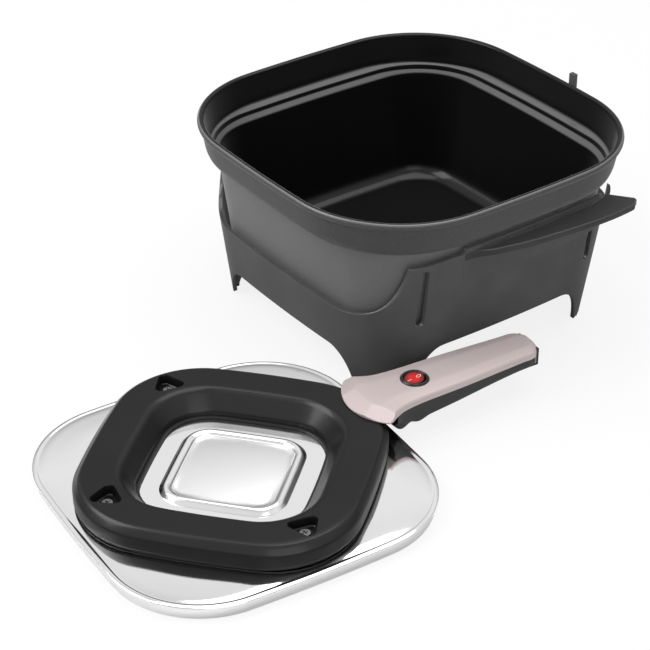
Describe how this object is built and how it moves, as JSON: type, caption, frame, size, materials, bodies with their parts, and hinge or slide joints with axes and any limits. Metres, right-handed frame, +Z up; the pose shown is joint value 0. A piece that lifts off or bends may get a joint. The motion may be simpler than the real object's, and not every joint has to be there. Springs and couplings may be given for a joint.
{
  "type": "electric skillet",
  "caption": "Square electric skillet: a deep non-stick pan in a black stand on corner legs, and a polished heated lid with a black ring and switch handle lying in front.",
  "frame": {"origin": "centre of the whole row's footprint on the worktop: the pan stands behind and to the left, the lid lies in front and to the right", "axes": "+Z up, +Y from the lid towards the stand, +X to the right along the stand's low front wall"},
  "size_m": [0.4342, 0.5703, 0.171],
  "materials": {
    "stand_plastic": "fine-grained heat-resistant plastic",
    "grip_plastic": "smooth black plastic",
    "screw_steel": "plated steel",
    "silicone": "black silicone",
    "nonstick_aluminium": "cast aluminium under a fine dark non-stick coating",
    "polished_steel": "stainless steel polished to a mirror",
    "bright_sheet": "bright aluminium sheet",
    "heater_steel": "dark oxidised heater sheath",
    "ceramic": "white ceramic",
    "brass": "brass",
    "ring_plastic": "satin black phenolic plastic",
    "handle_plastic": "satin black plastic",
    "cover_plastic": "rose-grey pearl lacquer",
    "bezel_plastic": "black plastic",
    "lamp_plastic": "lit indicator",
    "rocker_plastic": "lit translucent red plastic",
    "lead_rubber": "silicone-sleeved wire"
  },
  "bodies": {
    "stand": {"stand_shell": "stand_plastic", "side_grip_left": "grip_plastic", "side_grip_right": "grip_plastic", "grip_screws": "screw_steel", "pan_rest_pads": "silicone", "foot_pads": "silicone", "lid_rest_post": "grip_plastic", "post_screw": "screw_steel"},
    "pan": {"pan": "nonstick_aluminium"},
    "lid": {"lid_plate": "polished_steel", "reflector": "bright_sheet", "heating_element": "heater_steel", "element_clips": "screw_steel", "element_terminals": "ceramic", "thermal_cutout": "brass", "ring_base": "ring_plastic", "ring_housing": "ring_plastic", "ring_screws": "screw_steel", "handle_bracket": "screw_steel", "handle_body": "handle_plastic", "handle_cover": "cover_plastic", "handle_screws": "screw_steel", "switch_bezel": "bezel_plastic", "switch_body": "bezel_plastic", "switch_lamp": "lamp_plastic", "inlet_socket": "bezel_plastic", "inlet_pins": "brass", "inner_leads": "lead_rubber"},
    "rocker": {"switch_rocker": "rocker_plastic"}
  },
  "joints": [
    {"name": "pan_lift", "type": "slide", "parent": "stand", "child": "pan", "axis": [0, 0, 1], "range_m": [0, 0.16]},
    {"name": "lid_lift", "type": "slide", "parent": "stand", "child": "lid", "axis": [0.5774, -0.5774, 0.5774], "range_m": [0, 0.35]},
    {"name": "rocker_tilt", "type": "hinge", "parent": "lid", "child": "rocker", "pos_m": [0.09407, 0.0112, 0.0371], "axis": [0.9965, -0.0837, 0], "range_deg": [-16, 0]}
  ]
}
